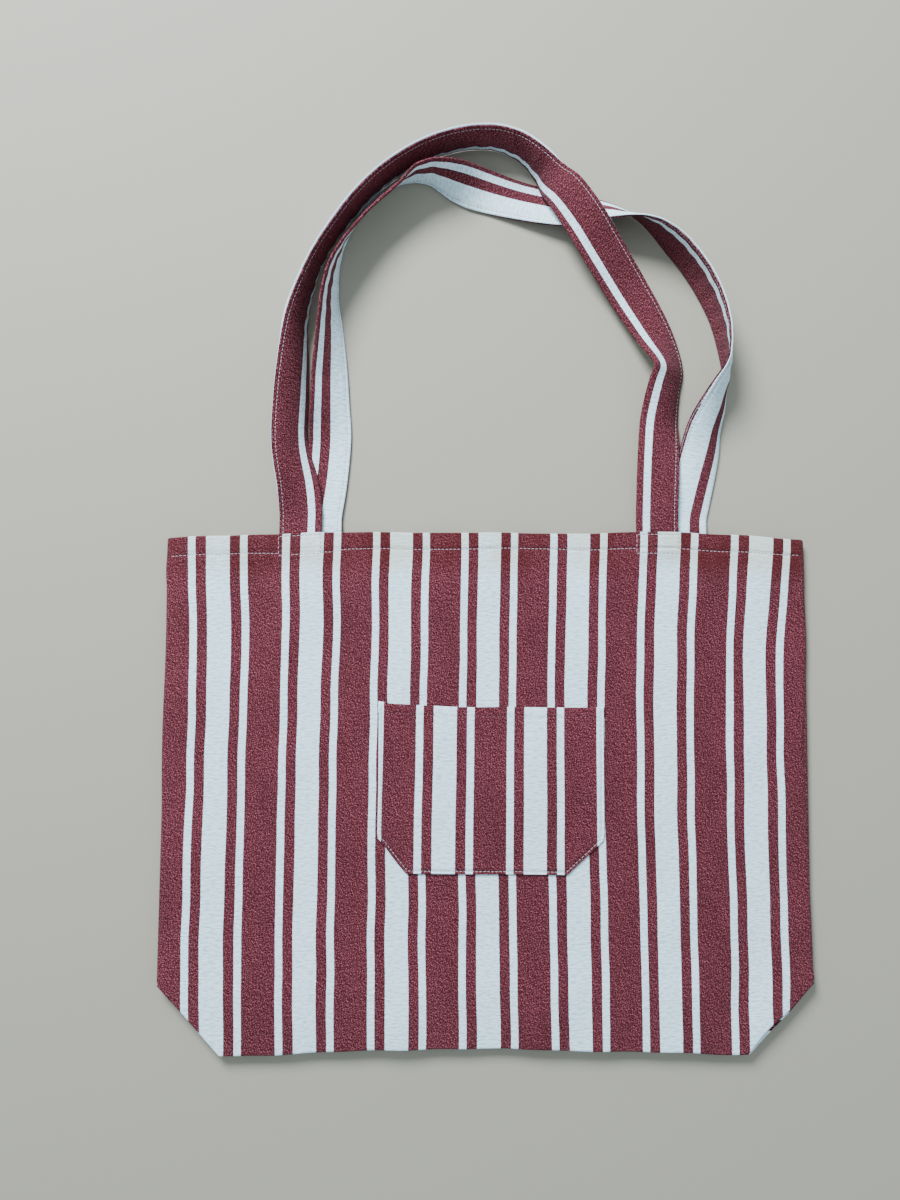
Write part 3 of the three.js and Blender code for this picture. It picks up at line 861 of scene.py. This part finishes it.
# ---- Handles ---------------------------------------------------------------------------------------
# The straps' routes: x, y, height of the strap's middle, and its lean in degrees.
FRONT_ROUTE = [
    (-140, 193, 6.35, 0),
    (-140, 205, 7, 5),
    (-142, 225, 9.5, 20),
    (-148, 258, 12.8, 38),
    (-147.6, 290, 13.2, 42),
    (-146.6, 320, 14.8, 52),
    (-144.5, 350, 16.3, 68),
    (-138.5, 375, 16.6, 80),
    (-130, 398, 16.6, 88),
    (-117, 420, 16.6, 90),
    (-100, 443, 16.6, 90),
    (-79, 463.5, 16.6, 90),
    (-52, 481, 16.6, 90),
    (-24, 491, 16.6, 90),
    (2, 493, 16.6, 88),
    (23, 486.5, 17.5, 82),
    (40, 472, 19, 70),
    (55, 449.5, 24, 40),
    (71.5, 425, 24.5, 26),
    (87, 403, 18, 12),
    (106, 376, 10, 4),
    (124, 347, 8, -12),
    (137, 320, 11, -36),
    (135.5, 301, 9.5, -28),
    (131.8, 276, 8, -10),
    (130.3, 255, 7.8, -3),
    (129.3, 234, 7.4, 0),
    (128.5, 205, 6.5, 0),
    (128.5, 193, 6.35, 0),
]
BACK_ROUTE = [
    (-125.5, 193, 2.65, 0),
    (-125.3, 203, 2.1, 0),
    (-122, 226, 1.6, 0),
    (-119.5, 256, 2.4, 3),
    (-119.2, 284, 8.8, 28),
    (-119.4, 306, 11, 38),
    (-119.2, 326, 13.5, 50),
    (-119.4, 347, 15.2, 62),
    (-119.6, 367, 16.4, 74),
    (-117.5, 385, 16.8, 84),
    (-112.5, 402, 16.6, 97),
    (-104.5, 418, 15.9, 108),
    (-93.5, 434, 15.2, 115),
    (-81, 447, 14.9, 118),
    (-69, 456.5, 15.2, 114),
    (-57, 463, 16.6, 98),
    (-45, 464.5, 16.6, 84),
    (-35, 462.5, 16, 68),
    (-25.5, 460, 13.4, 50),
    (-12, 457.5, 8.4, 26),
    (3, 455, 3.6, 8),
    (21, 450.5, 2.4, -4),
    (40, 445.5, 4, -10),
    (59, 441, 6.4, -18),
    (75, 439.5, 8.8, -28),
    (89.5, 438, 12, -42),
    (104, 434.5, 14.8, -56),
    (117, 429, 16.2, -72),
    (129, 421, 16.8, -88),
    (140.5, 410.5, 16.8, -99),
    (151.5, 398, 16.6, -102),
    (161, 384, 16.6, -103),
    (168, 370.5, 16.6, -102),
    (173.2, 357, 16.8, -99),
    (176.4, 344, 16.8, -96),
    (178.3, 329, 16.8, -90),
    (178.3, 314, 16.8, -80),
    (174, 296, 14.2, -56),
    (168, 274, 9.4, -32),
    (163.5, 254, 3.8, -10),
    (159, 236, 1.8, -1),
    (154.5, 217, 1.6, 0),
    (151.5, 203, 2.1, 0),
    (151, 193, 2.65, 0),
]
STRAP_HALF = 16.0
STRAP_TAB_FOOT = box_mm("front_strap_end_left")[0][1] + 0.4


def spline(points, per_span):
    """A smooth curve through every point."""
    points = np.array(points, float)
    padded = np.vstack([2 * points[0] - points[1], points, 2 * points[-1] - points[-2]])
    t = np.linspace(0, 1, per_span, endpoint=False)[:, None]
    rows = []
    for a, b, c, d in zip(padded[:-3], padded[1:-2], padded[2:-1], padded[3:]):
        square = (2 * a - 5 * b + 4 * c - d) * t**2
        cube = (3 * b - a - 3 * c + d) * t**3
        rows.append(0.5 * (2 * b + (c - a) * t + square + cube))
    return np.vstack([*rows, points[-1:]])


GROUND_CLEARANCE = 0.8  # from the strap's middle layer to the ground


def strap_frames(route):
    """The strap's middle line, its outward direction, its lean and the length run from one sewn end."""
    first, last = route[0], route[-1]
    heights = (STRAP_TAB_FOOT, (STRAP_TAB_FOOT + first[1]) / 2)
    tabs = [(first[0], y, first[2], 0) for y in heights]
    heights = ((STRAP_TAB_FOOT + last[1]) / 2, STRAP_TAB_FOOT)
    ends = [(last[0], y, last[2], 0) for y in heights]
    line = spline([*tabs, *route, *ends], 6)
    middle, lean = line[:, :3], np.radians(line[:, 3])
    tangent = np.gradient(middle, axis=0)
    outward = np.stack([-tangent[:, 1], tangent[:, 0], np.zeros(len(tangent))], axis=-1)
    outward /= np.linalg.norm(outward, axis=1)[:, None]
    length = np.concatenate([[0], np.cumsum(np.linalg.norm(np.diff(middle, axis=0), axis=1))])
    return middle, outward, lean, length


def section_place(frames, across, rise):
    """Points of the strap's section, and the way its surface faces there. The section is an arc, and
    cup is how far it turns between the middle and the outer edge."""
    middle, outward, lean, cup = frames
    bend = cup / STRAP_HALF
    tilt = lean - bend * across
    sideways = (np.sin(lean) - np.sin(tilt)) / bend - rise * np.sin(tilt)
    upwards = (np.cos(tilt) - np.cos(lean)) / bend + rise * np.cos(tilt)
    up = np.array([0, 0, 1.0])
    place = middle + outward * sideways[:, None] + up * upwards[:, None]
    return place, up * np.cos(tilt)[:, None] - outward * np.sin(tilt)[:, None]


def settle(middle, outward, lean, cup):
    """Moves a cupped strap so that its upper rim stays on the route and its lower edge rests on the
    ground."""
    standing = np.abs(np.sin(lean))
    top = STRAP_HALF * np.sign(np.sin(lean))
    bend = cup / STRAP_HALF
    stray = (np.sin(lean) - np.sin(lean - bend * top)) / bend - top * np.cos(lean)
    middle = middle - outward * (stray * smooth(standing, 0.3, 0.8))[:, None]
    edges = [section_place((middle, outward, lean, cup), side, 0)[0][:, 2] for side in (-15.9, 0, 15.9)]
    lowest = np.min(edges, axis=0) - GROUND_CLEARANCE
    middle[:, 2] -= np.where(lowest < 0, lowest, lowest * smooth(standing, 0.6, 0.95))
    return middle


# Section of a folded strap: across from the folded edge (-16) to the sewn edge (+16), and up.
# The turned-in layers meet in a groove at the sewn edge, and both faces dip along the sewn line.
STRAP_TOP = [
    (-15.9, 0.35),
    (-15.5, 0.85),
    (-14.6, 1.12),
    (-13.0, 1.15),
    (-10.0, 0.98),
    (-5.0, 0.9),
    (0.0, 0.88),
    (5.0, 0.9),
    (9.5, 1.0),
    (12.0, 1.05),
    (13.0, 0.72),
    (14.0, 1.08),
    (15.1, 1.15),
    (15.75, 0.9),
    (15.95, 0.55),
    (15.7, 0.2),
    (14.9, 0.06),
]
STRAP_UNDER = [
    (14.9, -0.06),
    (15.8, -0.16),
    (16.1, -0.55),
    (15.9, -0.92),
    (15.2, -1.16),
    (14.0, -1.08),
    (13.0, -0.74),
    (12.0, -1.05),
    (9.5, -1.0),
    (5.0, -0.9),
    (0.0, -0.88),
    (-5.0, -0.9),
    (-10.0, -0.98),
    (-13.0, -1.15),
    (-14.6, -1.12),
    (-15.5, -0.85),
    (-15.9, -0.35),
]
LAST_REACH = 31.0  # the pattern runs no further than this, so the turned-in edge keeps its face's colour
STRAP_SEWN = 13.0


def strap_section():
    """Section points with the distance along the cloth from the middle of the folded edge."""
    section = [*STRAP_TOP, *STRAP_UNDER]
    run = []
    for across, up in section:
        reach = min(across + STRAP_HALF, LAST_REACH)
        run.append(reach if up > 0 else -reach)
    return np.array(section), np.array(run)


def small_buckles(length, lean, amount):
    """Small buckles across the middle of a strap that stands on its edge."""
    standing = smooth(np.abs(np.sin(lean)), 0.75, 0.96)
    return amount * standing * (np.sin(length / 2.1 + np.sin(length / 17)) + 0.5 * np.sin(length / 3.7))


def front_cup(middle, lean):
    """Degrees. The standing left side curls under, and the right side is arched near its foot."""
    arched = bump_at(middle[:, 1], 285, 32) * smooth(middle[:, 0], 90, 120)
    return 32 * smooth(np.sin(lean), 0.3, 0.8) + 38 * arched


def back_cup(middle, lean):
    arched = bump_at(middle[:, 1], 262, 45) * smooth(middle[:, 0], 90, 140)
    return 15 * smooth(-np.sin(lean), 0.8, 0.95) + 40 * arched


def back_peek(middle, lean):
    """The lower layer shows past the upper one at the foot of the right leg, and the upper one past the
    lower one along the right arc, which stands on its edge."""
    foot = 1.6 * smooth(middle[:, 0], 120, 150) * (1 - smooth(middle[:, 1], 330, 380))
    return foot - 0.9 * smooth(-np.sin(lean), 0.7, 0.95) * smooth(middle[:, 0], 50, 90)


def front_peek(_, lean):
    """The outer layer shows above the inner one along the arc that stands on its edge."""
    return 0.8 * smooth(np.sin(lean), 0.84, 0.94)


def make_strap(
    name,
    route,
    sewn_side,
    fold_at,
    direction,
    fold_drift,
    cup_of,
    peek_of,
    ripple,
    nodes,
    stitch_nodes,
):
    """A folded strap and its length. sewn_side is +1 where the sewn edge is the outer one. fold_at is
    the stripe pattern's place at the folded edge, and direction the way it runs from there over the
    top. cup_of and peek_of give the section's bend and how far one layer shows past the other."""
    middle, outward, lean, length = strap_frames(route)
    cup = np.radians(cup_of(middle, lean) + 0.5)
    peek = peek_of(middle, lean)
    middle = settle(middle, outward, lean, cup)
    frames = (middle, outward, lean, cup)
    section, run = strap_section()
    buckles = small_buckles(length, lean, ripple)
    fold = fold_at + fold_drift * smooth(length, 0.74 * length[-1], 0.9 * length[-1])
    columns, cloth = [], []
    for (across, up), reach in zip(section, run):
        extra = peek if up < 0 and across > 14 else 0
        side = (across + extra) * sewn_side
        slack = 1 - (side / (1.1 * STRAP_HALF)) ** 2
        columns.append(section_place(frames, side, up + buckles * slack)[0])
        cloth.append(np.stack([fold + direction * reach, length], axis=-1))
    points = np.stack(columns, axis=1).reshape(-1, 3)
    cloth = np.stack(cloth, axis=1).reshape(-1, 2)
    faces = grid_faces(len(middle), len(section), flip=sewn_side > 0, ring=True)
    cap = list(range(len(section)))
    last = (len(middle) - 1) * len(section)
    faces.append(cap if sewn_side > 0 else cap[::-1])
    faces.append([last + i for i in (cap[::-1] if sewn_side > 0 else cap)])
    strap = make_piece(name, points, faces, cloth, CANVAS)
    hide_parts(*nodes)
    lines = []
    for over in (1, -1):
        path, facing = section_place(frames, STRAP_SEWN * sewn_side, 0.74 * over)
        lines.append((path[2:-2], (facing * over)[2:-2]))
    stitches = make_stitches(f"{name}_stitches", lines, stitch_nodes)
    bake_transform(strap)
    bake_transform(stitches)
    return strap, length[-1]


def make_straps():
    front = make_strap(
        "front_strap_canvas",
        FRONT_ROUTE,
        sewn_side=1,
        fold_at=22.6,
        direction=-1,
        fold_drift=0,
        cup_of=front_cup,
        peek_of=front_peek,
        ripple=0.5,
        nodes=["front_strap", "front_strap_end_left", "front_strap_end_right"],
        stitch_nodes=["front_strap_stitch"],
    )
    back = make_strap(
        "back_strap_canvas",
        BACK_ROUTE,
        sewn_side=-1,
        fold_at=8.7,
        direction=1,
        fold_drift=3.0,
        cup_of=back_cup,
        peek_of=back_peek,
        ripple=0.3,
        nodes=["back_strap", "back_strap_end_left", "back_strap_end_right"],
        stitch_nodes=["back_strap_stitch", "back_box_stitch_left", "back_box_stitch_right"],
    )
    return front, back


# ---- Floor, light and camera -----------------------------------------------------------------------
def make_floor():
    bpy.ops.mesh.primitive_plane_add(size=6, location=(0, 0.1, -0.0002))
    floor = bpy.context.object
    floor.name = "floor"
    graph = Graph("pale_floor")
    graph.shader.inputs["Base Color"].default_value = (0.37, 0.30, 0.235, 1)
    graph.shader.inputs["Roughness"].default_value = 0.8
    floor.data.materials.append(graph.material)


def aim(thing, target):
    direction = Vector(target) - thing.location
    thing.rotation_euler = direction.to_track_quat("-Z", "Y").to_euler()


def add_area_light(name, location, target, size, power, colour):
    data = bpy.data.lights.new(name, "AREA")
    data.shape = "DISK"
    data.size = size
    data.energy = power
    data.color = colour
    light = bpy.data.objects.new(name, data)
    light.location = location
    bpy.context.scene.collection.objects.link(light)
    aim(light, target)


def make_light():
    world = bpy.data.worlds.new("studio")
    bpy.context.scene.world = world
    world.use_nodes = True
    background = world.node_tree.nodes["Background"]
    background.inputs[0].default_value = (0.66, 0.88, 1.0, 1)
    background.inputs[1].default_value = 0.88
    add_area_light("window", (-0.75, 1.7, 1.35), (0, 0.1, 0), 0.9, 138, (0.74, 0.915, 1.0))


CAMERA_HEIGHT = 0.680
CAMERA_OVER = (-0.0267, 0.0937)
CAMERA_TILT = 3.8
CAMERA_ROLL = 0.45
CAMERA_LENS = 27.03


def make_camera():
    data = bpy.data.cameras.new("camera")
    data.sensor_fit = "VERTICAL"
    data.sensor_height = 36.0
    data.lens = CAMERA_LENS
    camera = bpy.data.objects.new("camera", data)
    camera.location = (*CAMERA_OVER, CAMERA_HEIGHT)
    camera.rotation_euler = (math.radians(CAMERA_TILT), 0, math.radians(CAMERA_ROLL))
    bpy.context.scene.collection.objects.link(camera)
    bpy.context.scene.camera = camera


make_camera()
make_light()
make_floor()
front = make_front()
back = make_back()
folds = make_bottom()
make_seams()
pocket = make_pocket()
make_hem_stitches()
make_box_stitches()
make_pocket_stitches()
straps = make_straps()
